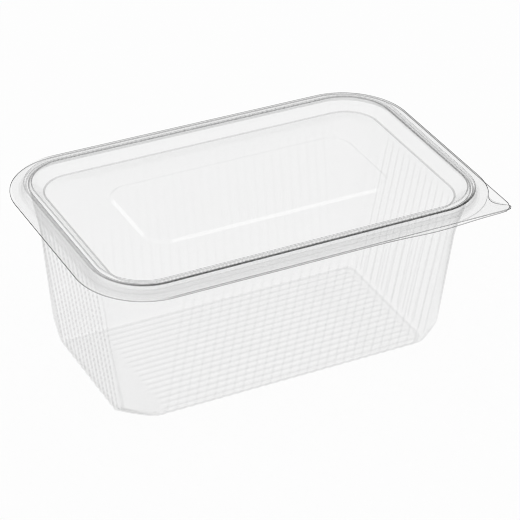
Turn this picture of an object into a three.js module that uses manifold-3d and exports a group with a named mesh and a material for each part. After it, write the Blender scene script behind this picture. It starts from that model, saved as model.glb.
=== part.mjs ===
// Clear takeaway box, thermoformed from one thin sheet: a ribbed tub, a lid with a
// raised rim, and a fold along the left short side that the lid turns about.
// Millimetres, +Z up, +X along the long side, origin under the middle of the base.
import * as THREE from 'three';
import { mergeVertices } from 'three/addons/utils/BufferGeometryUtils.js';
import Module from 'manifold-3d';

// Driving dimensions
const LENGTH = 190;
const WIDTH = 121.2;
const HEIGHT = 82;
const SHEET = 0.4;
const GAP = 0.3;
const FLANGE_REACH = 9.4;
const FLANGE_DROP = 3.3;
const RIM_CORNER = 20.2;
const RIM_WIDTH = 3.3;

// Lid panel, slightly crowned, and the raised pad in its middle
const PANEL_DROP = 5.0;
const PANEL_INSET = 5.4;
const PANEL_CROWN = 1.8;
const PAD_LENGTH = 114.4;
const PAD_WIDTH = 47.6;
const PAD_CORNER = 9;
const PAD_RISE = 0.9;
const PAD_EDGE = 0.8;

// Opening tabs at the front right corner
const TUB_TAB_CORNER = 4;
const LID_TAB_TIP = 2.2;
const LID_TAB_NECK = 6;
const LID_TAB_TURN = 36;
const LID_TAB_TIP_END = 0.2;

// Tub walls and their upright ribs
const BASE_LENGTH = 148.6;
const BASE_WIDTH = 70.2;
const LONG_RIB_PITCH = 4.5;
const LONG_WALL_RIBS = 28;
const LONG_RIB_START = -59;
const SHORT_RIB_PITCH = 4.78;
const SHORT_WALL_RIBS = 13;
const RIB_DEPTH = 0.9;
const RIB_TOP_GAP = 9;
const RIB_RUN_IN = 1.6;

// Tub corners: round at the top, tighter down the wall and cut off at the foot. The
// cuts are given along X and along Y, from the front right corner anticlockwise.
const ROUND_UPTO = 60;
const CUT_HEIGHT = 12;
const EDGE_RADIUS = 1.2;
const EDGE_INSET_SHARE = 0.6;
const FOOT_CUTS = [[5.4, 8], [3, 3], [2.4, 2.4], [15, 12.4]];

// The rounded foot: its heights, how far each is drawn in, and its share of rib depth
const FOOT_LEVELS = [[1.8, 0, 1], [0.5, 0.35, 0.8], [0, 1.2, 0.5]];

// Floor and its ribs
const FLOOR_RIBS = 18;
const FLOOR_RIB_PITCH = 3.7;
const FLOOR_RIB_START = -55.7;
const FLOOR_RIB_HEIGHT = 0.6;
const FLOOR_RIB_FOOT = 1.0;
const FLOOR_RIB_CREST = 0.45;
const FLOOR_RIB_MARGIN = 3;

// Fold between tub and lid
const FOLD_RADIUS = 0.45;
const FOLD_LENGTH = 66;

// Mesh fineness
const CORNER_STEPS = 10;
const RIBBED_CORNER_STEPS = 7;
const FOLD_SIDES = 12;

// Sizes worked out from the driving ones
const RIM_X = LENGTH / 2 - FLANGE_REACH;
const RIM_Y = WIDTH / 2 - FLANGE_REACH;
const STACK = SHEET + GAP;
const LID_FLANGE_Z = HEIGHT - FLANGE_DROP;
const TUB_FLANGE_Z = LID_FLANGE_Z - STACK;
const FOLD_Z = TUB_FLANGE_Z + GAP / 2;
const FOLD_X = -LENGTH / 2 + FOLD_RADIUS;
const LID_FOLD_INSET = 2 * FOLD_RADIUS + GAP;

// A mesh of rings and faces that grows into one closed sheet body.
class SheetMesh {
  constructor() {
    this.positions = [];
    this.triangles = [];
  }

  ring(points) {
    return points.map(([x, y, z]) => this.positions.push(x, y, z) / 3 - 1);
  }

  triangle(a, b, c, up) {
    this.triangles.push(...(up ? [a, b, c] : [a, c, b]));
  }

  // Quads between two anticlockwise rings with as many points each. With up true,
  // the faces look up, or inwards where the second ring lies below the first.
  strip(outer, inner, up) {
    outer.forEach((a, i) => {
      const next = (i + 1) % outer.length;
      this.triangle(a, outer[next], inner[next], up);
      this.triangle(a, inner[next], inner[i], up);
    });
  }

  // Triangles between two anticlockwise rings with different numbers of points,
  // walked together by their angle about the middle.
  zip(outer, inner, up) {
    const sorted = (ring) => ring
      .map((index) => ({ index, angle: this.angleOf(index) }))
      .sort((p, q) => p.angle - q.angle);
    const a = sorted(outer);
    const b = sorted(inner);
    const angleAt = (list, i) => list[i % list.length].angle + (i >= list.length ? 2 * Math.PI : 0);
    let i = 0;
    let j = 0;
    while (i < a.length || j < b.length) {
      const stepOuter = j >= b.length || (i < a.length && angleAt(a, i + 1) < angleAt(b, j + 1));
      const p = a[i % a.length].index;
      const q = b[j % b.length].index;
      if (stepOuter) {
        i += 1;
        this.triangle(p, a[i % a.length].index, q, up);
      } else {
        j += 1;
        this.triangle(p, b[j % b.length].index, q, up);
      }
    }
  }

  angleOf(index) {
    return Math.atan2(this.positions[3 * index + 1], this.positions[3 * index]);
  }

  // A flat face with an outline ring and any number of rings as holes in it.
  face(outline, holes, up) {
    const flat = (ring) => ring.map((i) => new THREE.Vector2(this.positions[3 * i], this.positions[3 * i + 1]));
    const order = [outline, ...holes].flat();
    for (const [a, b, c] of THREE.ShapeUtils.triangulateShape(flat(outline), holes.map(flat))) {
      this.triangle(order[a], order[b], order[c], up);
    }
  }

  geometry() {
    const geometry = new THREE.BufferGeometry();
    geometry.setAttribute('position', new THREE.Float32BufferAttribute(this.positions, 3));
    geometry.setIndex(this.triangles);
    return geometry;
  }
}

// A rounded rectangle as an anticlockwise list of points, from its front right corner.
function roundedLoop(halfX, halfY, radii, z, steps = CORNER_STEPS) {
  const corners = [[1, -1], [1, 1], [-1, 1], [-1, -1]];
  return corners.flatMap(([sx, sy], corner) => {
    const radius = Array.isArray(radii) ? radii[corner] : radii;
    return Array.from({ length: steps + 1 }, (_, k) => {
      const angle = (Math.PI / 2) * (corner - 1 + k / steps);
      return [
        sx * (halfX - radius) + radius * Math.cos(angle),
        sy * (halfY - radius) + radius * Math.sin(angle),
        z,
      ];
    });
  });
}

// The rim's loop moved outwards by a distance, at a height.
function rimLoop([out, z]) {
  return roundedLoop(RIM_X + out, RIM_Y + out, RIM_CORNER + out, z);
}

// A section line moved sideways by a distance, to the side that is on its left.
function offsetSection(section, distance) {
  const normals = section.slice(1).map(([x, z], i) => {
    const [px, pz] = section[i];
    const length = Math.hypot(x - px, z - pz);
    return [-(z - pz) / length, (x - px) / length];
  });
  return section.map(([x, z], i) => {
    const before = normals[Math.max(i - 1, 0)];
    const after = normals[Math.min(i, normals.length - 1)];
    const sum = [before[0] + after[0], before[1] + after[1]];
    const scale = distance / (1 + before[0] * after[0] + before[1] * after[1]);
    return [x + sum[0] * scale, z + sum[1] * scale];
  });
}

// Where a corner cut or arc with two legs stands at a share of its way: the share of
// the leg that is left to each of the two sides.
function cornerShare(t, flat) {
  const angle = (t * Math.PI) / 2;
  return flat ? [1 - t, t] : [Math.cos(angle), Math.sin(angle)];
}

// Half the extent of a wall ring across a side, at a place along that side. The legs
// are those of the corner on that half of the side.
function edgeAt(along, halfAlong, halfAcross, [legAlong, legAcross], flat) {
  const past = THREE.MathUtils.clamp((Math.abs(along) - halfAlong + legAlong) / legAlong, 0, 1);
  return halfAcross - legAcross * (flat ? past : 1 - Math.sqrt(1 - past ** 2));
}

// The index of the foot cut in the quarter of the box that a place lies in.
function quarterOf(x, y) {
  const [left, right] = y > 0 ? [2, 1] : [3, 0];
  return x > 0 ? right : left;
}

// A ring of the tub's wall: four straight sides with upright ribs, two points a rib,
// and four corners with their own legs along X and Y. Each rib keeps its place along
// the side at every height.
function ribbedLoop(halfX, halfY, legs, flat, z, depth) {
  const endsX = [LONG_RIB_START, LONG_RIB_START + LONG_WALL_RIBS * LONG_RIB_PITCH];
  const endY = (SHORT_WALL_RIBS * SHORT_RIB_PITCH) / 2;
  const side = (count, start, step, place) => Array.from({ length: 2 * count + 1 }, (_, k) => (
    place(start + (k * step) / 2, k % 2 === 0 ? -depth / 2 : depth / 2)));
  const onShort = (sign) => (y, push) => {
    const [legX, legY] = legs[quarterOf(sign, y)];
    const cut = flat && Math.abs(y) > halfY - legY;
    return [sign * (edgeAt(y, halfY, halfX, [legY, legX], flat) + (cut ? 0 : push)), y, z];
  };
  const onLong = (sign) => (x, push) => {
    const [legX, legY] = legs[quarterOf(x, sign)];
    const cut = flat && Math.abs(x) > halfX - legX;
    return [x, sign * (edgeAt(x, halfX, halfY, [legX, legY], flat) + (cut ? 0 : push)), z];
  };
  const corner = (index, signX, signY) => {
    const [legX, legY] = legs[index];
    const endX = signX > 0 ? endsX[1] : -endsX[0];
    const left = THREE.MathUtils.clamp((endX - halfX + legX) / legX, 0, 1);
    const reached = THREE.MathUtils.clamp((endY - halfY + legY) / legY, 0, 1);
    const from = flat ? reached : Math.asin(reached) / (Math.PI / 2);
    const to = flat ? 1 - left : Math.acos(left) / (Math.PI / 2);
    return Array.from({ length: RIBBED_CORNER_STEPS }, (_, k) => {
      const t = from + ((to - from) * (k + 0.5)) / RIBBED_CORNER_STEPS;
      const [shareX, shareY] = cornerShare(t, flat);
      return [signX * (halfX - legX * (1 - shareX)), signY * (halfY - legY * (1 - shareY)), z];
    });
  };
  return [
    ...side(SHORT_WALL_RIBS, -endY, SHORT_RIB_PITCH, onShort(1)),
    ...corner(1, 1, 1),
    ...side(LONG_WALL_RIBS, endsX[1], -LONG_RIB_PITCH, onLong(1)),
    ...corner(2, -1, 1).reverse(),
    ...side(SHORT_WALL_RIBS, endY, -SHORT_RIB_PITCH, onShort(-1)),
    ...corner(3, -1, -1),
    ...side(LONG_WALL_RIBS, endsX[0], LONG_RIB_PITCH, onLong(-1)),
    ...corner(0, 1, -1).reverse(),
  ];
}

// The tub's upright section at the rim, from the flange's edge over the bead that
// fits under the lid's rim and down the wall, for the faces that look up and inwards.
const TUB_SECTION = [
  [FLANGE_REACH, TUB_FLANGE_Z],
  [3.8, TUB_FLANGE_Z],
  [3.2, TUB_FLANGE_Z + 0.35],
  [2.75, HEIGHT - 1.45],
  [2.35, HEIGHT - 0.95],
  [1.55, HEIGHT - 0.85],
  [1.05, HEIGHT - 1.25],
  [0.1, HEIGHT - 6.5],
];

// The lid's section from the flange's edge, over the rim and down the recess.
const LID_SECTION = [
  [FLANGE_REACH, LID_FLANGE_Z],
  [4.7, LID_FLANGE_Z],
  [4.05, LID_FLANGE_Z + 0.4],
  [3.55, HEIGHT - 0.6],
  [RIM_WIDTH - 0.15, HEIGHT - 0.15],
  [RIM_WIDTH / 2, HEIGHT],
  [0.25, HEIGHT - 0.15],
  [-0.2, HEIGHT - 0.55],
  [-PANEL_INSET + 0.8, HEIGHT - PANEL_DROP + 0.5],
  [-PANEL_INSET, HEIGHT - PANEL_DROP],
];

// Wall and base levels of the tub: how far down the wall, and how far in from it.
function tubWallLoops(inset, lift) {
  const [topOut, topZ] = TUB_SECTION.at(-1);
  const top = [RIM_X + topOut + SHEET, RIM_Y + topOut + SHEET];
  const base = [BASE_LENGTH / 2, BASE_WIDTH / 2];
  const topRadius = RIM_CORNER + topOut + SHEET;
  const level = (z, extra, depth) => {
    const [x, y] = top.map((size, i) => size + (base[i] - size) * (1 - z / topZ) - inset - extra);
    const rise = THREE.MathUtils.clamp((z - CUT_HEIGHT) / (ROUND_UPTO - CUT_HEIGHT), 0, 1);
    const round = THREE.MathUtils.lerp(EDGE_RADIUS, topRadius, rise) - inset;
    const flat = z < CUT_HEIGHT;
    const cutLeg = (leg) => leg * (1 - z / CUT_HEIGHT) + EDGE_RADIUS - EDGE_INSET_SHARE * inset;
    const legs = FOOT_CUTS.map((cut) => cut.map((leg) => (flat ? cutLeg(leg) : round)));
    return ribbedLoop(x, y, legs, flat, z + lift, depth);
  };
  return [
    level(HEIGHT - RIB_TOP_GAP + RIB_RUN_IN, 0, 0),
    level(HEIGHT - RIB_TOP_GAP, 0, RIB_DEPTH),
    level(ROUND_UPTO, 0, RIB_DEPTH),
    level(CUT_HEIGHT, 0, RIB_DEPTH),
    ...FOOT_LEVELS.map(([z, drawnIn, share]) => level(z, drawnIn, RIB_DEPTH * share)),
  ];
}

// The raised ribs on the tub's floor, each as its foot ring and its crest ring.
function floorRibs(z) {
  return Array.from({ length: FLOOR_RIBS }, (_, k) => {
    const y = (k - (FLOOR_RIBS - 1) / 2) * FLOOR_RIB_PITCH;
    const [cutX, cutY] = FOOT_CUTS[y < 0 ? 0 : 1].map((leg) => leg + EDGE_RADIUS);
    const far = Math.abs(y) + FLOOR_RIB_FOOT;
    const reach = BASE_LENGTH / 2 - FLOOR_RIB_MARGIN;
    const end = edgeAt(far, BASE_WIDTH / 2 - FLOOR_RIB_MARGIN / 2, reach, [cutY, cutX], true);
    const box = (shrink, halfY, height) => [
      [FLOOR_RIB_START + shrink, y - halfY, height], [end - shrink, y - halfY, height],
      [end - shrink, y + halfY, height], [FLOOR_RIB_START + shrink, y + halfY, height]];
    return {
      foot: box(0, FLOOR_RIB_FOOT, z),
      crest: box(1, FLOOR_RIB_CREST, z + FLOOR_RIB_HEIGHT),
    };
  });
}

// One face of the tub's sheet, from its flange outline to the floor.
function addTubFace(mesh, section, outline, up) {
  const rings = section.slice(1).map((point) => mesh.ring(rimLoop(point)));
  mesh.face(outline, [rings[0]], up);
  rings.slice(1).forEach((ring, i) => mesh.strip(rings[i], ring, up));
  const wall = tubWallLoops(up ? SHEET : 0, up ? SHEET : 0).map((loop) => mesh.ring(loop));
  mesh.zip(rings.at(-1), wall[0], up);
  wall.slice(1).forEach((ring, i) => mesh.strip(wall[i], ring, up));
  const feet = floorRibs(up ? SHEET : 0).map(({ foot, crest }) => {
    const footRing = mesh.ring(foot);
    const crestRing = mesh.ring(crest);
    mesh.strip(footRing, crestRing, up);
    mesh.face(crestRing, [], up);
    return footRing;
  });
  mesh.face(wall.at(-1), feet, up);
}

// A closed mesh as a solid that can be joined with others.
function toSolid(wasm, geometry) {
  const bare = new THREE.BufferGeometry();
  bare.setAttribute('position', geometry.getAttribute('position').clone());
  bare.setIndex(geometry.getIndex() ?? null);
  const merged = mergeVertices(bare);
  return new wasm.Manifold(new wasm.Mesh({
    numProp: 3,
    vertProperties: new Float32Array(merged.getAttribute('position').array),
    triVerts: new Uint32Array(merged.getIndex().array),
  }));
}

function toGeometry(solid) {
  const { vertProperties, triVerts } = solid.getMesh();
  const geometry = new THREE.BufferGeometry();
  geometry.setAttribute('position', new THREE.BufferAttribute(new Float32Array(vertProperties), 3));
  geometry.setIndex(new THREE.BufferAttribute(new Uint32Array(triVerts), 1));
  return geometry;
}

// The rounded fold line along the left flange, whose middle is the lid's axis.
function foldGeometry() {
  const fold = new THREE.CylinderGeometry(FOLD_RADIUS, FOLD_RADIUS, FOLD_LENGTH, FOLD_SIDES);
  return fold.translate(FOLD_X, 0, FOLD_Z);
}

function makeTub(wasm) {
  const mesh = new SheetMesh();
  const radii = [TUB_TAB_CORNER, ...Array(3).fill(RIM_CORNER + FLANGE_REACH)];
  const outline = (z) => mesh.ring(roundedLoop(LENGTH / 2, WIDTH / 2, radii, z));
  const upper = outline(TUB_FLANGE_Z);
  const lower = outline(TUB_FLANGE_Z - SHEET);
  addTubFace(mesh, TUB_SECTION, upper, true);
  addTubFace(mesh, offsetSection(TUB_SECTION, SHEET), lower, false);
  mesh.strip(lower, upper, true);
  const sheet = toSolid(wasm, mesh.geometry());
  return toGeometry(sheet.add(toSolid(wasm, foldGeometry())));
}

// The lid's flange outline: a rounded rectangle that stops short of the fold, with a
// pointed tab at the front right corner. The tab's front edge is straight, and its
// back edge leaves the round corner in a hollow curve.
function lidOutline(z) {
  const radius = RIM_CORNER + FLANGE_REACH;
  const right = LENGTH / 2;
  const front = -WIDTH / 2;
  const path = new THREE.Path();
  const turn = THREE.MathUtils.degToRad(-LID_TAB_TURN);
  const cx = right - radius;
  const cy = front + radius;
  const neck = [cx + radius * Math.cos(turn), cy + radius * Math.sin(turn)];
  const tip = [right - LID_TAB_TIP, front + LID_TAB_TIP];
  path.moveTo(tip[0], front);
  path.absarc(tip[0], tip[1], LID_TAB_TIP, -Math.PI / 2, LID_TAB_TIP_END, false);
  const bend = [neck[0] + LID_TAB_NECK * Math.sin(turn), neck[1] - LID_TAB_NECK * Math.cos(turn)];
  path.quadraticCurveTo(bend[0], bend[1], neck[0], neck[1]);
  path.absarc(cx, cy, radius, turn, 0, false);
  path.absarc(cx, -cy, radius, 0, Math.PI / 2, false);
  path.absarc(-cx + LID_FOLD_INSET, -cy, radius, Math.PI / 2, Math.PI, false);
  path.absarc(-cx + LID_FOLD_INSET, cy, radius, Math.PI, Math.PI * 1.5, false);
  const points = path.getPoints(CORNER_STEPS);
  const last = points.at(-1);
  const kept = points.filter((p, i) => i === 0 || p.distanceTo(points[i - 1]) > 1e-6);
  return (last.distanceTo(points[0]) < 1e-6 ? kept.slice(0, -1) : kept).map((p) => [p.x, p.y, z]);
}

// One face of the lid's sheet, from its flange outline to the pad in the middle.
function addLidFace(mesh, section, outline, pad, up) {
  const rings = section.slice(1).map((point) => mesh.ring(rimLoop(point)));
  mesh.face(outline, [rings[0]], up);
  rings.slice(1).forEach((ring, i) => mesh.strip(rings[i], ring, up));
  const foot = mesh.ring(pad.foot);
  const crest = mesh.ring(pad.crest);
  mesh.strip(rings.at(-1), foot, up);
  mesh.strip(foot, crest, up);
  mesh.face(crest, [], up);
}

// The pad's foot and crest rings for the face at a height, drawn in by a distance.
function padRings(z, inset) {
  const ring = (grow, height) => roundedLoop(
    PAD_LENGTH / 2 + grow - inset, PAD_WIDTH / 2 + grow - inset, PAD_CORNER + grow - inset, height);
  return { foot: ring(PAD_EDGE, z + PANEL_CROWN), crest: ring(0, z + PANEL_CROWN + PAD_RISE) };
}

function makeLid() {
  const mesh = new SheetMesh();
  const upper = mesh.ring(lidOutline(LID_FLANGE_Z));
  const lower = mesh.ring(lidOutline(LID_FLANGE_Z - SHEET));
  const panelZ = HEIGHT - PANEL_DROP;
  addLidFace(mesh, LID_SECTION, upper, padRings(panelZ, 0), true);
  addLidFace(mesh, offsetSection(LID_SECTION, SHEET), lower, padRings(panelZ - SHEET, SHEET / 2), false);
  mesh.strip(lower, upper, true);
  return mesh.geometry();
}

const wasm = await Module();
wasm.setup();

const clearPlastic = () => new THREE.MeshStandardMaterial({
  color: 0xf2f3f3, roughness: 0.08, metalness: 0, transparent: true, opacity: 0.25 });

const box = new THREE.Group();
const tub = new THREE.Mesh(makeTub(wasm), clearPlastic());
tub.name = 'tub';
box.add(tub);
const lid = new THREE.Mesh(makeLid(), clearPlastic());
lid.name = 'lid';
box.add(lid);

export default box;
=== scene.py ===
"""Clear takeaway box with a ribbed tub and a hinged lid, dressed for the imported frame.

Lengths in the classes are in millimetres, in the frame of the part: X along the long
side away from the fold, Y towards the back, Z up from the base. Meshes are turned into
metres when they are made.
"""
import logging
import math
from dataclasses import dataclass, field
from enum import Enum, IntEnum

import bpy
import numpy as np
from mathutils import Matrix, Vector


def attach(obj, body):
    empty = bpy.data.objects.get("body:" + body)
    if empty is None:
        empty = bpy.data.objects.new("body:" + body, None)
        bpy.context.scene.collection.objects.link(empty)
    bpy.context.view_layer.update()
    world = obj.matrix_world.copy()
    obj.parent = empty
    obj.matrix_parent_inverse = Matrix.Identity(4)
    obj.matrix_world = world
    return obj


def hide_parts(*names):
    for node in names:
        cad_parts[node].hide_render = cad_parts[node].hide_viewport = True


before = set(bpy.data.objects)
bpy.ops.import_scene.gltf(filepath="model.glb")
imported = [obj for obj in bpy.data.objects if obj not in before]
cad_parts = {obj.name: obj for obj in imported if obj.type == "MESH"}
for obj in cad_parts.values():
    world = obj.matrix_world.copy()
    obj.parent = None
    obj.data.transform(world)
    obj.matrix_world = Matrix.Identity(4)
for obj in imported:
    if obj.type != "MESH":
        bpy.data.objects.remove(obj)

log = logging.getLogger("takeaway_box")
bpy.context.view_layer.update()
MM = 0.001
SHEET = 0.4
EDGE_LIPS = (0.35, 0.7, 0.95, 1.2)
TIGHT_TURN = math.radians(40)
TIGHT_RADIUS = 0.5


class Corner(IntEnum):
    """The four corners of a ring, anticlockwise as seen from above."""

    FRONT_RIGHT = 0
    BACK_RIGHT = 1
    BACK_LEFT = 2
    FRONT_LEFT = 3


class Place(IntEnum):
    """Where a column of a ring stands."""

    LONG_SIDE = 0
    SHORT_SIDE = 1
    CORNER = 2


class Body(Enum):
    """The two moving bodies of the box."""

    TUB = "tub"
    LID = "lid"


SIGN_X = np.array([1, 1, -1, -1])
SIGN_Y = np.array([-1, 1, 1, -1])


def smoothstep(low: float, high: float, value: np.ndarray) -> np.ndarray:
    """Rise from 0 at low to 1 at high along 3 t^2 - 2 t^3."""
    t = np.clip((value - low) / (high - low), 0, 1)
    return t * t * (3 - 2 * t)


@dataclass(frozen=True)
class RingLayout:
    """Columns of a closed ring: four sides and four corners, anticlockwise.

    With absolute True, a column on a side keeps its place in millimetres in every
    ring, so that upright ribs stay upright. Otherwise it keeps its share of the
    straight side, from -1 to 1, and a ring of any size can be laid out.
    """

    long_ends: tuple[float, float]
    short_ends: tuple[float, float]
    long_columns: int
    short_columns: int
    corner_columns: int
    absolute: bool

    def columns(self) -> dict[str, np.ndarray]:
        """Lay the columns out, from the front end of the right side.

        Returns:
            Arrays over the columns: place (a Place), corner (the Corner whose legs
            apply), along (millimetres or share along a side) and share (the way
            through a corner from its short side to its long side).
        """
        short = np.linspace(*self.short_ends, self.short_columns + 1)
        long = np.linspace(*self.long_ends, self.long_columns + 1)
        turn = (np.arange(self.corner_columns) + 0.5) / self.corner_columns

        def side(place: Place, along: np.ndarray, low: Corner, high: Corner) -> np.ndarray:
            """A side whose negative half belongs to one corner and whose rest to another."""
            owner = np.where(along > 0, int(high), int(low))
            return np.stack([np.full(along.size, int(place)), owner, along, np.zeros(along.size)])

        def bend(corner: Corner, share: np.ndarray) -> np.ndarray:
            """The columns of one corner."""
            one = np.ones(share.size)
            return np.stack([one * int(Place.CORNER), one * int(corner), one * 0, share])

        place, corner, along, share = np.concatenate([
            side(Place.SHORT_SIDE, short, Corner.FRONT_RIGHT, Corner.BACK_RIGHT),
            bend(Corner.BACK_RIGHT, turn),
            side(Place.LONG_SIDE, long[::-1], Corner.BACK_LEFT, Corner.BACK_RIGHT),
            bend(Corner.BACK_LEFT, turn[::-1]),
            side(Place.SHORT_SIDE, short[::-1], Corner.FRONT_LEFT, Corner.BACK_LEFT),
            bend(Corner.FRONT_LEFT, turn),
            side(Place.LONG_SIDE, long, Corner.FRONT_LEFT, Corner.FRONT_RIGHT),
            bend(Corner.FRONT_RIGHT, turn[::-1]),
        ], axis=1)
        corner = corner.astype(int)
        return {"place": place.astype(int), "corner": corner, "along": along, "share": share,
                "sign_x": SIGN_X[corner], "sign_y": SIGN_Y[corner]}

    def middle_of(self, corner: Corner) -> int:
        """The index of the middle column of a corner."""
        half = self.corner_columns // 2
        short, long = self.short_columns + 1, self.long_columns + 1
        starts = {
            Corner.BACK_RIGHT: short,
            Corner.BACK_LEFT: short + self.corner_columns + long,
            Corner.FRONT_LEFT: 2 * short + 2 * self.corner_columns + long,
            Corner.FRONT_RIGHT: 2 * short + 3 * self.corner_columns + 2 * long,
        }
        return starts[corner] + half

    def columns_of(self, corner: Corner) -> slice:
        """The columns of a corner."""
        first = self.middle_of(corner) - self.corner_columns // 2
        return slice(first, first + self.corner_columns)


@dataclass
class Rings:
    """Rows of rings, each a rectangle with its own corners at a height.

    The corner of a ring is a quarter of a superellipse with a leg along X and a leg
    along Y. Its power is 2 for a round corner and close to 1 for a flat cut.
    """

    half_x: np.ndarray
    half_y: np.ndarray
    height: np.ndarray
    leg_x: np.ndarray
    leg_y: np.ndarray
    power: np.ndarray
    rib_depth: np.ndarray
    bend: np.ndarray

    @staticmethod
    def round(half_x: np.ndarray, half_y: np.ndarray, height: np.ndarray, radius: np.ndarray,
              bend: np.ndarray | None = None) -> "Rings":
        """Rings with plain round corners and no ribs."""
        legs = np.repeat(np.asarray(radius, float)[:, None], 4, axis=1)
        flat = np.zeros(legs.shape[0])
        return Rings(np.asarray(half_x, float), np.asarray(half_y, float), np.asarray(height, float),
                     legs, legs.copy(), np.full_like(legs, 2.0), flat, flat if bend is None else bend)

    def join(self, other: "Rings") -> "Rings":
        """These rings followed by the other ones."""
        names = self.__dataclass_fields__
        return Rings(**{name: np.concatenate([getattr(self, name), getattr(other, name)]) for name in names})

    def between(self, other: "Rings", share: np.ndarray, height: np.ndarray) -> "Rings":
        """Round rings that go over evenly from the last one here to the other's first."""
        first, last = (np.array([rings.half_x[at], rings.half_y[at], rings.leg_x[at, 0]])
                       for rings, at in ((self, -1), (other, 0)))
        half_x, half_y, radius = (first[:, None] + (last - first)[:, None] * share[None, :])
        return Rings.round(half_x, half_y, height, radius)

    def points(self, layout: RingLayout, long_pitch: float = 1.0, short_pitch: float = 1.0) -> np.ndarray:
        """Place every column of every ring.

        On a side the column's place along it is given, and the distance across is the
        half width less what the corner takes off there: leg times (1 - (1 - p^n)^(1/n)),
        with p the share of the leg passed and n the corner's power. In a corner the
        column's angle t gives leg times (1 - cos(t)^(2/n)) and (1 - sin(t)^(2/n)) off the
        two half widths. Ribs push a side in and out by minus half their depth times the
        cosine of the way along, one turn a rib.

        Args:
            layout: the columns of the rings.
            long_pitch: distance between ribs on the long sides.
            short_pitch: distance between ribs on the short sides.

        Returns:
            An array of rings by columns by three coordinates.
        """
        c = layout.columns()
        leg_x, leg_y, power = (legs[:, c["corner"]] for legs in (self.leg_x, self.leg_y, self.power))
        a, b = self.half_x[:, None], self.half_y[:, None]
        on_long = c["place"][None, :] == Place.LONG_SIDE
        on_short = c["place"][None, :] == Place.SHORT_SIDE
        along = c["along"][None, :] * np.ones_like(leg_x)
        if not layout.absolute:
            along = along * np.where(on_long, a - leg_x, b - leg_y)

        def across(half_along: np.ndarray, leg_along: np.ndarray, half: np.ndarray, leg: np.ndarray,
                   start: float, pitch: float) -> np.ndarray:
            """Half the width at the given places, with the corner's loss and the ribs."""
            p = np.clip((np.abs(along) - half_along + leg_along) / leg_along, 0, 1)
            lost = leg * (1 - np.clip(1 - p ** power, 0, 1) ** (1 / power))
            push = -0.5 * self.rib_depth[:, None] * np.cos(2 * np.pi * (along - start) / pitch)
            return half - lost + push * (1 - np.clip(4 * p * np.clip(2 - power, 0, 1), 0, 1))

        side_y = across(a, leg_x, b, leg_y, layout.long_ends[0], long_pitch)
        side_x = across(b, leg_y, a, leg_x, layout.short_ends[0], short_pitch)
        keep_x = keep_y = np.zeros_like(leg_x)
        if layout.absolute:
            end_x = np.where(c["sign_x"] > 0, layout.long_ends[1], -layout.long_ends[0])[None, :]
            end_y = np.where(c["sign_y"] > 0, layout.short_ends[1], -layout.short_ends[0])[None, :]
            keep_x = np.clip((end_x - a + leg_x) / leg_x, 0, 1)
            keep_y = np.clip((end_y - b + leg_y) / leg_y, 0, 1)
        begin = np.arcsin(keep_y ** (power / 2))
        finish = np.arccos(keep_x ** (power / 2))
        angle = begin + (finish - begin) * c["share"][None, :]
        corner_x = a - leg_x * (1 - np.cos(angle) ** (2 / power))
        corner_y = b - leg_y * (1 - np.sin(angle) ** (2 / power))
        x = np.where(on_long, along, c["sign_x"] * np.where(on_short, side_x, corner_x))
        y = np.where(on_short, along, c["sign_y"] * np.where(on_long, side_y, corner_y))
        return np.stack([x, y, self.height[:, None] * np.ones_like(x)], axis=-1)


@dataclass(frozen=True)
class Section:
    """An upright section line: its points with height, and the painted shade of each one's bend.

    A bent sheet turns light aside, so a tight bend is seen as a dark line, painted here
    into the sheet's colour as shade. The bend of a point is 0 where it is flat and 1 where
    it is folded sharply. A cut edge, and the rim's outer edge in front, get more painted shade.
    """

    out: np.ndarray
    height: np.ndarray
    bend: np.ndarray

    @staticmethod
    def filleted(corners: tuple[tuple[float, float, float], ...], steps: int = 5,
                 lead: float = 0.28) -> "Section":
        """Round every inner corner of a line off with its own radius.

        Each arc turns evenly between its two tangent points, and a flat point stands
        just before and just after it, so that its bend keeps to it. The bend is the
        turn's share of 40 degrees times the square of half a millimetre's share of the
        radius, neither share over 1.

        Args:
            corners: distance out, height and fillet radius of each corner.
            steps: number of points on an arc.
            lead: distance from an arc to its flat neighbours.

        Returns:
            The section line.
        """
        rows = [(corners[0][0], corners[0][1], 0.0)]
        for before, corner, after in zip(corners, corners[1:], corners[2:]):
            middle = np.array(corner[:2])
            into, away = middle - before[:2], np.array(after[:2]) - middle
            into, away = into / np.linalg.norm(into), away / np.linalg.norm(away)
            turn = math.acos(float(np.clip(into @ away, -1, 1)))
            reach = corner[2] * math.tan(turn / 2)
            bend = min(turn / TIGHT_TURN, 1.0) * min(TIGHT_RADIUS / max(corner[2], 0.1), 1.0) ** 2
            side = np.sign(into[0] * away[1] - into[1] * away[0])
            start = middle - into * reach
            rows.append((*(start - into * lead), 0.0))
            for angle in np.linspace(0, turn, steps):
                across = np.array([-into[1], into[0]]) * side
                step = corner[2] * (into * math.sin(angle) + across * (1 - math.cos(angle)))
                rows.append((*(start + step), bend))
            rows.append((*(middle + away * (reach + lead)), 0.0))
        rows.append((corners[-1][0], corners[-1][1], 0.0))
        out, height, bends = np.array(rows).T
        return Section(out, height, bends)

    def lipped(self, lips: tuple[float, ...] = EDGE_LIPS, bend: float = 1.8) -> "Section":
        """The same line with a cut edge: its first point given a strong painted dark line, and flat ones
        just inside.
        """
        places = np.ones(len(lips), int)
        out = np.insert(self.out, places, self.out[0] - np.array(lips))
        height = np.insert(self.height, places, self.height[0])
        bends = np.insert(self.bend, places, 0.0)
        bends[0] = bend
        return Section(out, height, bends)

    def shaded_down_to(self, height: float, bend: float) -> "Section":
        """The same line with weaker painted shade going on from its last tight bend down to a height."""
        share = (self.height[-2] - height) / (self.height[-2] - self.height[-1])
        out = np.insert(self.out, -1, self.out[-2] + (self.out[-1] - self.out[-2]) * share)
        bends = np.insert(self.bend, -1, 0.0)
        bends[-3] = bend
        return Section(out, np.insert(self.height, -1, height), bends)


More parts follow.
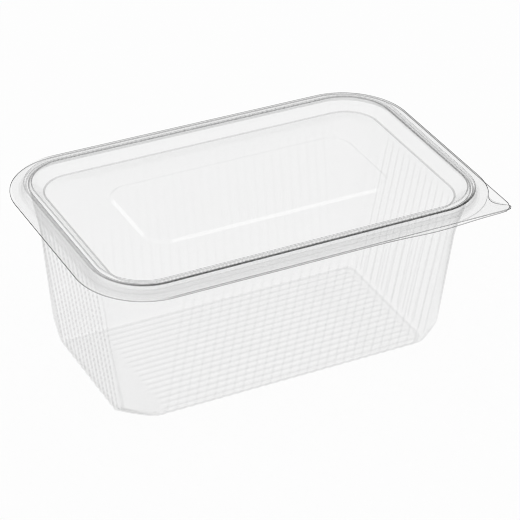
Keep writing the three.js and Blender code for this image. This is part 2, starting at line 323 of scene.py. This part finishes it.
def even_path(points: np.ndarray, count: int) -> np.ndarray:
    """Points at even lengths along a line, at the middles of count equal stretches."""
    length = np.concatenate([[0], np.cumsum(np.linalg.norm(np.diff(points, axis=0), axis=1))])
    at = (np.arange(count) + 0.5) / count * length[-1]
    return np.stack([np.interp(at, length, points[:, k]) for k in range(points.shape[1])], axis=1)


def arc(centre: tuple[float, float], radius: float, start: float, end: float, count: int = 24) -> np.ndarray:
    """Points on an arc, with its angles in degrees."""
    angle = np.radians(np.linspace(start, end, count))
    return np.stack([centre[0] + radius * np.cos(angle), centre[1] + radius * np.sin(angle)], axis=1)


def grid_normals(points: np.ndarray, closed: bool) -> np.ndarray:
    """Unit normals of a grid of points.

    They are the cross product of the step along a row and the step to the next row,
    each taken between the two neighbours, with a row that is closed running round.
    """
    if closed:
        along = np.roll(points, -1, axis=1) - np.roll(points, 1, axis=1)
    else:
        along = np.gradient(points, axis=1)
    normal = np.cross(along, np.gradient(points, axis=0))
    return normal / np.maximum(np.linalg.norm(normal, axis=-1, keepdims=True), 1e-12)


def grid_faces(rows: int, columns: int, closed: bool, first: int, turned: bool) -> np.ndarray:
    """Quads of a grid whose points start at an index, with their normals as grid_normals gives.

    Args:
        rows: number of rows of points.
        columns: number of points in a row.
        closed: whether the last point of a row joins its first.
        first: index of the grid's first point.
        turned: whether the faces look the other way.

    Returns:
        An array of four point indices a face.
    """
    row = np.arange(rows - 1)[:, None]
    column = np.arange(columns if closed else columns - 1)[None, :]
    right = (column + 1) % columns
    quads = np.stack([row * columns + column, row * columns + right,
                      (row + 1) * columns + right, (row + 1) * columns + column], axis=-1).reshape(-1, 4)
    return first + (quads[:, ::-1] if turned else quads)


def edge_faces(above: np.ndarray, below: np.ndarray) -> np.ndarray:
    """Quads round the cut edge of a sheet, between two closed rings of point indices."""
    return np.stack([below, np.roll(below, -1), np.roll(above, -1), above], axis=1)


def make_mesh(name: str, points: np.ndarray, quads: np.ndarray, triangles: np.ndarray | None = None,
              bend: np.ndarray | None = None, sharp: float = 50.0) -> bpy.types.Object:
    """Put points in millimetres and faces into a new mesh object.

    Args:
        name: name of the object.
        points: one point a row, in millimetres.
        quads: four point indices a face.
        triangles: three point indices a face, for poles.
        bend: painted shade at each point, the dark line of a bend or cut edge, from 0 up.
        sharp: angle in degrees past which an edge stays sharp.

    Returns:
        The object, linked to the scene.
    """
    mesh = bpy.data.meshes.new(name)
    triangles = np.zeros((0, 3), int) if triangles is None else triangles
    loops = np.concatenate([quads.ravel(), triangles.ravel()]).astype(np.int32)
    totals = np.concatenate([np.full(len(quads), 4), np.full(len(triangles), 3)]).astype(np.int32)
    starts = np.concatenate([[0], np.cumsum(totals)[:-1]]).astype(np.int32)
    mesh.vertices.add(len(points))
    mesh.vertices.foreach_set("co", (points * MM).astype(np.float32).ravel())
    mesh.loops.add(len(loops))
    mesh.loops.foreach_set("vertex_index", loops)
    mesh.polygons.add(len(totals))
    mesh.polygons.foreach_set("loop_start", starts)
    mesh.update(calc_edges=True)
    mesh.validate()
    values = np.zeros(len(points)) if bend is None else bend
    mesh.attributes.new("bend", "FLOAT", "POINT").data.foreach_set("value", values.astype(np.float32))
    mesh.shade_smooth()
    mesh.set_sharp_from_angle(angle=math.radians(sharp))
    piece = bpy.data.objects.new(name, mesh)
    bpy.context.collection.objects.link(piece)
    return piece


def link(tree: bpy.types.NodeTree, source: bpy.types.NodeSocket, target: bpy.types.NodeSocket) -> None:
    """Join two sockets."""
    tree.links.new(source, target)


def math_node(tree: bpy.types.NodeTree, operation: str, *inputs: "float | bpy.types.NodeSocket",
              clamp: bool = False) -> bpy.types.NodeSocket:
    """A Math node with numbers or sockets as its inputs, and its output socket."""
    node = tree.nodes.new("ShaderNodeMath")
    node.operation = operation
    node.use_clamp = clamp
    for socket, value in zip(node.inputs, inputs):
        if isinstance(value, bpy.types.NodeSocket):
            link(tree, value, socket)
        else:
            socket.default_value = value
    return node.outputs[0]


class SheetFlow:
    """Node group for the slight unevenness of thermoformed sheet.

    Long soft waves come from low noise, and fine drawing lines from noise that is
    stretched along Z, so both change over the surface in the piece's own place.
    """

    NAME = "sheet_flow"

    @classmethod
    def group(cls) -> bpy.types.NodeTree:
        """The group, made once.

        Returns:
            A tree with Wave Size and Line Size as inputs, and Height and Gloss Loss
            as outputs.
        """
        if cls.NAME in bpy.data.node_groups:
            return bpy.data.node_groups[cls.NAME]
        tree = bpy.data.node_groups.new(cls.NAME, "ShaderNodeTree")
        for name, value in (("Wave Size", 60.0), ("Line Size", 900.0)):
            socket = tree.interface.new_socket(name=name, in_out="INPUT", socket_type="NodeSocketFloat")
            socket.default_value = value
        for name in ("Height", "Gloss Loss"):
            tree.interface.new_socket(name=name, in_out="OUTPUT", socket_type="NodeSocketFloat")
        enter, leave = tree.nodes.new("NodeGroupInput"), tree.nodes.new("NodeGroupOutput")
        place = tree.nodes.new("ShaderNodeTexCoord").outputs["Object"]
        wave = tree.nodes.new("ShaderNodeTexNoise")
        wave.inputs["Detail"].default_value = 1.5
        link(tree, place, wave.inputs["Vector"])
        link(tree, enter.outputs["Wave Size"], wave.inputs["Scale"])
        stretch = tree.nodes.new("ShaderNodeMapping")
        stretch.inputs["Scale"].default_value = (1.0, 1.0, 0.06)
        link(tree, place, stretch.inputs["Vector"])
        lines = tree.nodes.new("ShaderNodeTexNoise")
        lines.inputs["Detail"].default_value = 2.0
        link(tree, stretch.outputs["Vector"], lines.inputs["Vector"])
        link(tree, enter.outputs["Line Size"], lines.inputs["Scale"])
        fine = math_node(tree, "MULTIPLY", lines.outputs["Fac"], 0.12)
        link(tree, math_node(tree, "ADD", wave.outputs["Fac"], fine), leave.inputs["Height"])
        link(tree, lines.outputs["Fac"], leave.inputs["Gloss Loss"])
        return tree


@dataclass(frozen=True)
class ClearSheet:
    """Finish of clear thin sheet: what shows through, what it mirrors and how even it is.

    With f from 0 (seen square on) to 1 (seen along the surface), a face lets through
    clear times (1 - haze f^2) times (1 - dark f^falloff (1 - f^sky_falloff)) times
    (1 - bend (bend_dark + bend_graze f^2)), and never less than none. The share that it
    mirrors is mirror + edge_mirror f^5.
    """

    name: str
    clear: float = 0.978
    haze: float = 0.03
    dark: float = 0.18
    falloff: float = 6.0
    sky_falloff: float = 12.0
    bend_dark: float = 0.14
    bend_graze: float = 0.78
    mirror: float = 0.035
    edge_mirror: float = 0.10
    roughness: float = 0.05
    unevenness: float = 0.10

    def flow(self, tree: bpy.types.NodeTree) -> tuple[bpy.types.NodeSocket, bpy.types.NodeSocket]:
        """Add the sheet's unevenness, and give its normal and its roughness."""
        flow = tree.nodes.new("ShaderNodeGroup")
        flow.node_tree = SheetFlow.group()
        bump = tree.nodes.new("ShaderNodeBump")
        bump.inputs["Strength"].default_value = self.unevenness
        bump.inputs["Distance"].default_value = 0.0006
        link(tree, flow.outputs["Height"], bump.inputs["Height"])
        rough = math_node(tree, "MULTIPLY_ADD", flow.outputs["Gloss Loss"], 0.04, self.roughness)
        return bump.outputs["Normal"], rough

    def passed(self, tree: bpy.types.NodeTree, slant: bpy.types.NodeSocket) -> bpy.types.NodeSocket:
        """The share of light that a face lets through, from how slanted it is seen."""
        square = math_node(tree, "POWER", slant, 2.0)
        haze = math_node(tree, "MULTIPLY_ADD", square, -self.haze, 1.0)
        along = math_node(tree, "MULTIPLY_ADD", math_node(tree, "POWER", slant, self.sky_falloff), -1.0, 1.0)
        deep = math_node(tree, "MULTIPLY", math_node(tree, "POWER", slant, self.falloff), along)
        dark = math_node(tree, "MULTIPLY_ADD", deep, -self.dark, 1.0)
        # The bend attribute is painted shade: dark lines at bends, cut edges and where the tab begins, for
        # the light that the sheet turns aside.
        bend = tree.nodes.new("ShaderNodeAttribute")
        bend.attribute_name = "bend"
        loss = math_node(tree, "MULTIPLY_ADD", square, -self.bend_graze, -self.bend_dark)
        bent = math_node(tree, "MULTIPLY_ADD", bend.outputs["Fac"], loss, 1.0)
        face = math_node(tree, "MULTIPLY", math_node(tree, "MULTIPLY", haze, dark), bent)
        return math_node(tree, "MULTIPLY", face, self.clear, clamp=True)

    def build(self) -> bpy.types.Material:
        """Make the material."""
        material = bpy.data.materials.new(self.name)
        material.use_nodes = True
        tree = material.node_tree
        tree.nodes.clear()
        normal, rough = self.flow(tree)
        facing = tree.nodes.new("ShaderNodeLayerWeight")
        facing.inputs["Blend"].default_value = 0.5
        link(tree, normal, facing.inputs["Normal"])
        slant = facing.outputs["Facing"]
        clear = tree.nodes.new("ShaderNodeBsdfTransparent")
        link(tree, self.passed(tree, slant), clear.inputs["Color"])
        gloss = tree.nodes.new("ShaderNodeBsdfAnisotropic")
        gloss.inputs["Color"].default_value = (0.98, 0.985, 0.985, 1)
        link(tree, rough, gloss.inputs["Roughness"])
        link(tree, normal, gloss.inputs["Normal"])
        rise = math_node(tree, "POWER", slant, 5.0)
        mirrored = math_node(tree, "MULTIPLY_ADD", rise, self.edge_mirror, self.mirror, clamp=True)
        both = tree.nodes.new("ShaderNodeMixShader")
        link(tree, mirrored, both.inputs["Fac"])
        link(tree, clear.outputs[0], both.inputs[1])
        link(tree, gloss.outputs[0], both.inputs[2])
        out = tree.nodes.new("ShaderNodeOutputMaterial")
        link(tree, both.outputs[0], out.inputs["Surface"])
        return material


def dress(piece: bpy.types.Object, finish: ClearSheet, body: Body, slot: str,
          *nodes: str) -> bpy.types.Object:
    """Give a piece its finish and its body, and hide the nodes that it stands for."""
    piece.data.materials.append(bpy.data.materials.get(finish.name) or finish.build())
    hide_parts(*nodes)
    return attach(piece, body.value)


@dataclass(frozen=True)
class Rim:
    """The box's outline over the flange, and the line that the rim's section stands on."""

    length: float = 190.0
    width: float = 121.2
    flange: float = 9.4
    corner: float = 20.2
    outer_band: tuple[float, float] = (2.0, 4.2)
    # These two set the painted shade of the rim's outer edge line at the sides and in front; it is painted
    # darker in front.
    side_shade: float = 0.5
    front_shade: float = 2.2

    @property
    def half(self) -> tuple[float, float]:
        """Half the length and half the width at the rim's line."""
        return self.length / 2 - self.flange, self.width / 2 - self.flange

    def with_front_shade(self, bend: np.ndarray, points: np.ndarray, out: np.ndarray) -> np.ndarray:
        """The painted shade of the rim's rings, with its outer edge line painted darker in front.

        A bend between the flange and the rim's top is multiplied by side_shade plus
        front_shade times the square of the outline's forward direction, which goes from
        0 at the sides to 1 in front.
        """
        along = np.roll(points, -1, axis=1) - np.roll(points, 1, axis=1)
        forward = np.clip(along[..., 0] / np.maximum(np.linalg.norm(along[..., :2], axis=-1), 1e-9), 0, 1)
        outer = ((out > self.outer_band[0]) & (out < self.outer_band[1]))[:, None]
        return bend * np.where(outer, self.side_shade + self.front_shade * forward ** 2, 1.0)

    def rings(self, section: Section) -> Rings:
        """The rings of a section whose distances out are measured from the rim's line."""
        return Rings.round(self.half[0] + section.out, self.half[1] + section.out, section.height,
                           self.corner + section.out, section.bend)


@dataclass
class Tub:
    """The tub: flange, the bead that the lid's rim closes over, ribbed walls and floor."""

    rim: Rim = field(default_factory=Rim)
    base: tuple[float, float] = (148.6, 70.2)
    tab_corner: float = 6.0
    long_ribs: int = 28
    long_pitch: float = 4.5
    long_start: float = -59.0
    short_ribs: int = 13
    short_pitch: float = 4.78
    rib_depth: float = 0.8
    rib_top: tuple[float, float] = (71.0, 64.5)
    bead_shade_end: float = 79.0
    bead_shade: float = 0.5
    foot_radius: float = 2.2
    foot_shade: float = 0.15
    round_upto: float = 60.0
    cut_height: float = 12.0
    edge_radius: float = 1.2
    cuts: tuple[tuple[float, float], ...] = ((5.4, 8.0), (3.0, 3.0), (2.4, 2.4), (15.0, 12.4))
    flat: tuple[float, ...] = (0.35, 0.2, 0.2, 0.85)
    floor_pitch: float = 3.7
    floor_rise: float = 0.6
    floor_ends: tuple[float, float] = (-55.7, 70.0)
    droop: float = 1.1
    droop_place: float = 58.0
    droop_spread: float = 17.0
    finish: ClearSheet = field(default_factory=lambda: ClearSheet("tub_clear_sheet"))
    floor_finish: ClearSheet = field(default_factory=lambda: ClearSheet("tub_floor_sheet", 0.962, dark=0.24))

    CORNERS = ((9.4, 78.0, 0), (3.27, 78.0, 1.4), (2.63, 81.12, 0.45), (1.2, 81.05, 0.4), (0.1, 75.5, 0))

    def layout(self) -> RingLayout:
        """The columns: eight a rib on the long sides and ten on the short ones."""
        half = self.short_ribs * self.short_pitch / 2
        long_ends = (self.long_start, self.long_start + self.long_ribs * self.long_pitch)
        return RingLayout(long_ends, (-half, half), self.long_ribs * 8, self.short_ribs * 10, 15, True)

    def wall_rings(self) -> Rings:
        """The inner face of the walls and of the rounded foot.

        The half widths fall evenly from the rim to the base. The corner radius grows
        evenly from the edge radius at the cut's top to the rim's radius, and below that
        the two legs of each corner grow to its cut. At the foot the ring draws in by
        radius times (1 - cos f) while its height is radius times (1 - sin f).
        """
        heights = np.array([75.0, 72.5, 70.5, 69, 67.5, 66, 64.5, 62, 58, 50, 41, 32, 25, 20, 17, 15, 13.5,
                            12.4, 11.6, 10.6, 9.4, 8.2, 7.0, 5.8, 4.8, 4.0, 3.4])
        turn = np.radians(np.linspace(0, 90, 9))
        radius = self.foot_radius - SHEET
        z = np.concatenate([heights, SHEET + radius * (1 - np.sin(turn)), [SHEET]])
        inset = np.concatenate([np.zeros(heights.size), radius * (1 - np.cos(turn)), [radius + 0.5]]) + SHEET
        top = np.array(self.rim.half) + 0.1 + SHEET
        half = [self.base[k] / 2 + (top[k] - self.base[k] / 2) * z / 75.5 - inset for k in range(2)]
        grow = np.clip((z - self.cut_height) / (self.round_upto - self.cut_height), 0, 1)
        above = self.edge_radius + (self.rim.corner + 0.5 - self.edge_radius) * grow - SHEET
        below = np.clip(1 - z / self.cut_height, 0, 1)[:, None]
        flat = np.array(self.flat)[None, :]
        growth = below ** (1 + 0.8 * (1 - flat))
        cuts = np.array(self.cuts)[None, :, :]
        legs = [above[:, None] + cuts[:, :, k] * growth for k in range(2)]
        power = 2 - flat * smoothstep(0, 0.3, below)
        depth = self.rib_depth * smoothstep(*self.rib_top, z) * (1 - 0.55 * smoothstep(3.0, 0.6, z))
        # Painted shade: a dark line round the fillet at the foot of the walls.
        bend = self.foot_shade * smoothstep(0.75, 0.45, z)
        return Rings(half[0], half[1], z, legs[0], legs[1], power, depth, bend)

    def rings(self) -> Rings:
        """All rings of the upper and inner face, from the flange's edge to the floor."""
        # The bead's inner wall gets weaker painted shade from its top bend down to a height.
        section = Section.filleted(self.CORNERS).lipped().shaded_down_to(self.bead_shade_end, self.bead_shade)
        return self.rim.rings(section).join(self.wall_rings())

    def outline_tab(self, points: np.ndarray) -> None:
        """Pull the flange's front right corner out to its tab, on the outermost rings.

        The tab is the corner of the two straight edges with a small radius, and its
        columns lie at even lengths from edge to edge.
        """
        layout = self.layout()
        corner = layout.columns_of(Corner.FRONT_RIGHT)
        for row, inset in ((0, 0.0), (1, EDGE_LIPS[0])):
            right, front = self.rim.length / 2 - inset, -self.rim.width / 2 + inset
            radius = self.tab_corner - inset
            path = np.concatenate([
                [[layout.long_ends[1], front]],
                arc((right - radius, front + radius), radius, -90, 0, 12),
                [[right, -layout.short_ends[1]]],
            ])
            points[row, corner, :2] = even_path(path, layout.corner_columns)

    def sag(self, points: np.ndarray) -> np.ndarray:
        """Let the front flange hang a little between its middle and the tab.

        The drop is droop times a bell along X round droop_place, times the way out from
        the rim.
        """
        x, y, z = points[..., 0], points[..., 1], points[..., 2]
        out = smoothstep(self.rim.half[1] + 4.5, self.rim.half[1] + self.rim.flange, -y)
        bell = np.exp(-((x - self.droop_place) / self.droop_spread) ** 2)
        moved = points.copy()
        moved[..., 2] = z - self.droop * bell * out
        return moved

    def walls(self) -> bpy.types.Object:
        """Flange, bead and walls: the inner face, and the outer face a sheet's thickness off it."""
        layout = self.layout()
        rings = self.rings()
        inner = rings.points(layout, self.long_pitch, self.short_pitch)
        self.outline_tab(inner)
        inner = self.sag(inner)
        outer = inner - SHEET * grid_normals(inner, True)
        rows, columns = inner.shape[:2]
        count = rows * columns
        bend = np.repeat(rings.bend, columns).reshape(rows, columns)
        bend = self.rim.with_front_shade(bend, inner, rings.half_x - self.rim.half[0])
        points = np.concatenate([inner.reshape(-1, 3), outer.reshape(-1, 3)])
        quads = np.concatenate([
            grid_faces(rows, columns, True, 0, False),
            grid_faces(rows, columns, True, count, True),
            edge_faces(np.arange(columns), count + np.arange(columns)),
        ])
        return make_mesh("tub_walls", points, quads, bend=np.tile(bend.ravel(), 2))

    def floor_height(self, points: np.ndarray) -> np.ndarray:
        """Height of the floor's ribs over its plane.

        A rib's section is a raised cosine across Y to the power of 1.5. The ribs fade
        out over two millimetres at their ends, and over one at the foot of the long walls.
        """
        x, y = points[..., 0], points[..., 1]
        wave = 0.5 + 0.5 * np.cos(2 * np.pi * (y - self.floor_pitch / 2) / self.floor_pitch)
        ends = smoothstep(self.floor_ends[0], self.floor_ends[0] + 2.0, x) * smoothstep(
            self.floor_ends[1], self.floor_ends[1] - 2.0, x)
        span = self.base[1] / 2 - self.foot_radius
        sides = smoothstep(span, span - 1.0, np.abs(y))
        return self.floor_rise * wave ** 1.5 * ends * sides

    def floor(self) -> bpy.types.Object:
        """The ribbed floor, a grid laid between the walls' lowest ring.

        The ring is cut at the middles of its corners into four sides, and a point
        inside is the sum of what the two pairs of sides give by even mixing, less what
        the four corners give.
        """
        layout = self.layout()
        ring = self.rings().points(layout, self.long_pitch, self.short_pitch)[-1]
        middle = {corner: layout.middle_of(corner) for corner in Corner}
        order = np.roll(ring, -middle[Corner.FRONT_RIGHT], axis=0)
        at = {corner: (middle[corner] - middle[Corner.FRONT_RIGHT]) % len(ring) for corner in Corner}
        right = order[:at[Corner.BACK_RIGHT] + 1]
        back = order[at[Corner.BACK_RIGHT]:at[Corner.BACK_LEFT] + 1][::-1]
        left = order[at[Corner.BACK_LEFT]:at[Corner.FRONT_LEFT] + 1][::-1]
        front = np.concatenate([order[at[Corner.FRONT_LEFT]:], order[:1]])
        s = np.linspace(0, 1, len(front))[None, :, None]
        t = np.linspace(0, 1, len(right))[:, None, None]
        plane = ((1 - t) * front[None] + t * back[None] + (1 - s) * left[:, None] + s * right[:, None]
                 - (1 - s) * (1 - t) * front[0] - s * (1 - t) * front[-1]
                 - (1 - s) * t * back[0] - s * t * back[-1])
        upper = plane.copy()
        upper[..., 2] += self.floor_height(plane)
        lower = upper - SHEET * grid_normals(upper, False)
        rows, columns = upper.shape[:2]
        points = np.concatenate([upper.reshape(-1, 3), lower.reshape(-1, 3)])
        quads = np.concatenate([grid_faces(rows, columns, False, 0, False),
                                grid_faces(rows, columns, False, rows * columns, True)])
        return make_mesh("tub_floor", points, quads)

    def build(self) -> None:
        """Make the tub's pieces and dress them."""
        for piece, finish in ((self.walls(), self.finish), (self.floor(), self.floor_finish)):
            dress(piece, finish, Body.TUB, "tub_sheet", "tub")
            log.info("made %s with %d faces", piece.name, len(piece.data.polygons))


@dataclass
class Fold:
    """The rounded fold line along the left flange, whose middle is the lid's axis."""

    radius: float = 0.45
    length: float = 66.0
    centre: tuple[float, float] = (-94.55, 78.15)
    finish: ClearSheet = field(default_factory=lambda: ClearSheet("tub_clear_sheet"))

    def build(self) -> None:
        """Make the fold as circles along Y, which shrink to a point at its two ends.

        The radius at a place is the full radius times the square root of 1 - e^2, with
        e the way into the last millimetre.
        """
        along = np.linspace(-1, 1, 61)
        end = np.clip((np.abs(along) * self.length / 2 - self.length / 2 + 1) / 1, 0, 1)
        radius = self.radius * np.sqrt(np.clip(1 - end ** 2, 1e-4, 1))
        turn = np.linspace(0, 2 * np.pi, 16, endpoint=False)
        x = self.centre[0] + radius[:, None] * np.sin(turn)[None, :]
        z = self.centre[1] + radius[:, None] * np.cos(turn)[None, :]
        y = along[:, None] * self.length / 2 * np.ones_like(x)
        points = np.stack([x, y, z], axis=-1).reshape(-1, 3)
        poles = np.array([[self.centre[0], -self.length / 2, self.centre[1]],
                          [self.centre[0], self.length / 2, self.centre[1]]])
        count = len(points)
        ring = np.arange(16)
        low = np.stack([np.roll(ring, -1), ring, np.full(16, count)], axis=1)
        high = np.stack([count - 16 + ring, count - 16 + np.roll(ring, -1), np.full(16, count + 1)], axis=1)
        quads = grid_faces(61, 16, True, 0, False)
        piece = make_mesh("fold_line", np.concatenate([points, poles]), quads, np.concatenate([low, high]))
        dress(piece, self.finish, Body.TUB, "tub_sheet", "tub")
        log.info("made %s", piece.name)


@dataclass
class Lid:
    """The lid: flange with the opening tab, raised rim, recessed panel and its pad."""

    rim: Rim = field(default_factory=Rim)
    tab_tip: float = 2.4
    tab_short: float = 1.0
    tab_neck: float = 6.0
    tab_turn: float = 36.0
    # Strength of the painted dark line where the tab begins.
    crease_shade: float = 1.0
    crease_out: float = 0.3
    fold_inset: float = 1.2
    crown: float = 1.8
    pad: tuple[float, float, float] = (113.6, 46.8, 9.0)
    pad_rise: float = 0.9
    pad_edge: float = 1.6
    finish: ClearSheet = field(default_factory=lambda: ClearSheet("lid_clear_sheet", 0.98, dark=0.08))

    CORNERS = ((9.4, 78.7, 0), (4.4, 78.7, 1.5), (3.5, 81.86, 0.45), (1.65, 82.0, 3.0), (0.05, 81.86, 0.5),
               (-5.2, 77.0, 0.65), (-6.6, 77.0, 0))

    def layout(self) -> RingLayout:
        """Sides with a few columns, and fine corners."""
        return RingLayout((-1.0, 1.0), (-1.0, 1.0), 24, 14, 41, False)

    def rings(self) -> Rings:
        """The upper face's rings, from the flange's edge to the middle of the pad.

        Between the panel's edge and the pad the rings go over evenly in size, and rise
        by the crown along a quarter of a sine.
        """
        rim = self.rim.rings(Section.filleted(self.CORNERS).lipped())
        length, width, radius = self.pad
        flat = self.CORNERS[-1][1]
        low = flat + self.crown
        step = Section.filleted(((self.pad_edge + 1.0, low, 0), (self.pad_edge, low, 0.5),
                                 (0.0, low + self.pad_rise, 0.5), (-1.0, low + self.pad_rise, 0)))
        foot = Rings.round(length / 2 + step.out, width / 2 + step.out, step.height, radius + step.out)
        share = np.linspace(0, 1, 9)[1:-1]
        panel = rim.between(foot, share, flat + self.crown * np.sin(share * np.pi / 2))
        shrink = np.array([0.7, 0.4, 0.15])
        inner = Rings.round((length / 2 - 1.0) * shrink, (width / 2 - 1.0) * shrink,
                            np.full(3, low + self.pad_rise), (radius - 1.0) * shrink)
        return rim.join(panel).join(foot).join(inner)

    def tab_outline(self, inset: float) -> np.ndarray:
        """The flange's outline at the tab, from the front edge to the right edge.

        The front edge runs straight to a small round tip. From there a bend with one
        control point leads back to the round corner, which goes on to the right edge.
        """
        radius = self.rim.corner + self.rim.flange - inset
        right, front = self.rim.length / 2 - inset, -self.rim.width / 2 + inset
        centre = (right - radius, front + radius)
        turn = math.radians(-self.tab_turn)
        neck = np.array([centre[0] + radius * math.cos(turn), centre[1] + radius * math.sin(turn)])
        control = neck + self.tab_neck * np.array([math.sin(turn), -math.cos(turn)])
        middle = (right - self.tab_short - self.tab_tip, front + self.tab_tip)
        tip = arc(middle, self.tab_tip - inset / 2, -90, 11, 10)
        t = np.linspace(0, 1, 20)[1:-1, None]
        bend = (1 - t) ** 2 * tip[-1] + 2 * t * (1 - t) * control + t ** 2 * neck
        corner = arc(centre, radius, -self.tab_turn, 0, 24)
        return np.concatenate([[[centre[0], front]], tip, bend, corner])

    def outline_tab(self, layout: RingLayout, upper: np.ndarray, bend: np.ndarray) -> None:
        """Pull the flange's edge out to the tab, and paint a dark line where the tab begins.

        The two outermost rings follow the tab's outline at even lengths. The three rings
        inside them run along the round corner, and the middle one of them gets painted shade.
        """
        corner = layout.columns_of(Corner.FRONT_RIGHT)
        for row, inset in ((0, 0.0), (1, EDGE_LIPS[0])):
            upper[row, corner, :2] = even_path(self.tab_outline(inset), layout.corner_columns)
        radius = self.rim.corner + self.rim.flange
        centre = (self.rim.length / 2 - radius, -self.rim.width / 2 + radius)
        way = np.arange(layout.corner_columns) / layout.corner_columns
        crease_shade = smoothstep(0, 0.12, way) * smoothstep(0.66, 0.54, way)
        for row, inset in enumerate(EDGE_LIPS[1:], 2):
            circle = arc(centre, radius - inset + self.crease_out, -90, 0, 60)
            upper[row, corner, :2] = even_path(circle, layout.corner_columns)
        # Painted shade: a dark line along the middle ring where the tab begins.
        bend[3, corner] = self.crease_shade * crease_shade

    def sheet(self) -> bpy.types.Object:
        """The whole lid as one sheet, closed at the middle of the pad."""
        layout = self.layout()
        rings = self.rings()
        upper = rings.points(layout)
        rows, columns = upper.shape[:2]
        bend = np.repeat(rings.bend, columns).reshape(rows, columns)
        bend = self.rim.with_front_shade(bend, upper, rings.half_x - self.rim.half[0])
        self.outline_tab(layout, upper, bend)
        upper[:5, :, 0] += self.fold_inset * smoothstep(60, 94, -upper[:5, :, 0])
        # The painted dark line at the lid's cut edge fades out towards the fold.
        bend[0] *= smoothstep(-74, -62, upper[0, :, 0])
        lower = upper - SHEET * grid_normals(upper, True)
        count = rows * columns
        top = self.CORNERS[-1][1] + self.crown + self.pad_rise
        poles = np.array([[0, 0, top], [0, 0, top - SHEET]])
        points = np.concatenate([upper.reshape(-1, 3), lower.reshape(-1, 3), poles])
        ring = (rows - 1) * columns + np.arange(columns)
        triangles = np.concatenate([
            np.stack([ring, np.roll(ring, -1), np.full(columns, 2 * count)], axis=1),
            np.stack([np.roll(ring, -1) + count, ring + count, np.full(columns, 2 * count + 1)], axis=1),
        ])
        quads = np.concatenate([
            grid_faces(rows, columns, True, 0, False),
            grid_faces(rows, columns, True, count, True),
            edge_faces(np.arange(columns), count + np.arange(columns)),
        ])
        bends = np.concatenate([np.tile(bend.ravel(), 2), np.zeros(2)])
        return make_mesh("lid_sheet", points, quads, triangles, bend=bends)

    def build(self) -> None:
        """Make the lid and dress it."""
        piece = dress(self.sheet(), self.finish, Body.LID, "lid_sheet", "lid")
        log.info("made %s with %d faces", piece.name, len(piece.data.polygons))


@dataclass
class Studio:
    """Camera, floor and soft light."""

    azimuth: float = -28.903
    elevation: float = 32.675
    roll: float = 2.163
    distance: float = 1.0382
    target: tuple[float, float, float] = (0.00094, -0.00925, 0.04776)
    lens: float = 167.34
    floor_shade: float = 0.04
    floor_glow: float = 0.943
    sky: float = 1.0

    def camera(self) -> None:
        """Stand the camera at the photograph's angle, turned by its small roll."""
        az, el, roll = (math.radians(v) for v in (self.azimuth, self.elevation, self.roll))
        back = Vector((math.sin(az) * math.cos(el), -math.cos(az) * math.cos(el), math.sin(el)))
        right = Vector((math.cos(az), math.sin(az), 0))
        up = back.cross(right)
        x = right * math.cos(roll) + up * math.sin(roll)
        y = up * math.cos(roll) - right * math.sin(roll)
        data = bpy.data.cameras.new("camera")
        data.lens = self.lens
        data.clip_start, data.clip_end = 0.01, 20
        camera = bpy.data.objects.new("camera", data)
        place = Matrix((x, y, back)).transposed().to_4x4()
        place.translation = Vector(self.target) + back * self.distance
        camera.matrix_world = place
        bpy.context.collection.objects.link(camera)
        bpy.context.scene.camera = camera

    def floor(self) -> None:
        """A wide pale floor under the box."""
        mesh = bpy.data.meshes.new("floor")
        corners = np.array([[-1, -1, 0], [1, -1, 0], [1, 1, 0], [-1, 1, 0]]) * 6.0
        mesh.from_pydata((corners - [0, 0, 0.00005]).tolist(), [], [[0, 1, 2, 3]])
        material = bpy.data.materials.new("pale_floor")
        material.use_nodes = True
        shader = material.node_tree.nodes["Principled BSDF"]
        shader.inputs["Base Color"].default_value = (self.floor_shade,) * 3 + (1,)
        shader.inputs["Roughness"].default_value = 1.0
        shader.inputs["Specular IOR Level"].default_value = 0.0
        shader.inputs["Emission Color"].default_value = (1, 1, 1, 1)
        shader.inputs["Emission Strength"].default_value = self.floor_glow
        mesh.materials.append(material)
        ground = bpy.data.objects.new("floor", mesh)
        bpy.context.collection.objects.link(ground)

    def lamp(self, name: str, place: tuple[float, float, float], size: float, power: float) -> None:
        """A square soft lamp that faces the box."""
        data = bpy.data.lights.new(name, "AREA")
        data.size = size
        data.energy = power
        lamp = bpy.data.objects.new(name, data)
        lamp.location = place
        lamp.rotation_euler = (Vector((0, 0, 0.05)) - Vector(place)).to_track_quat("-Z", "Y").to_euler()
        bpy.context.collection.objects.link(lamp)

    def light(self) -> None:
        """An even white sky and two soft lamps."""
        world = bpy.data.worlds.new("soft_sky")
        world.use_nodes = True
        sky = world.node_tree.nodes["Background"]
        sky.inputs["Color"].default_value = (1, 1, 1, 1)
        sky.inputs["Strength"].default_value = self.sky
        bpy.context.scene.world = world
        self.lamp("soft_top", (0.73, -0.08, 1.64), 0.5, 0.7)
        self.lamp("soft_back_left", (-0.475, 1.327, 1.12), 0.3, 0.3)

    def build(self) -> None:
        """Set up the whole studio."""
        self.camera()
        self.floor()
        self.light()
        scene = bpy.context.scene
        scene.view_settings.view_transform = "Standard"
        scene.cycles.transparent_max_bounces = 64
        scene.cycles.filter_width = 0.9


def main() -> None:
    """Build the studio and the box, piece by piece."""
    logging.basicConfig(level=logging.INFO, format="%(name)s: %(message)s")
    Studio().build()
    Tub().build()
    Fold().build()
    Lid().build()


if __name__ == "__main__":
    main()
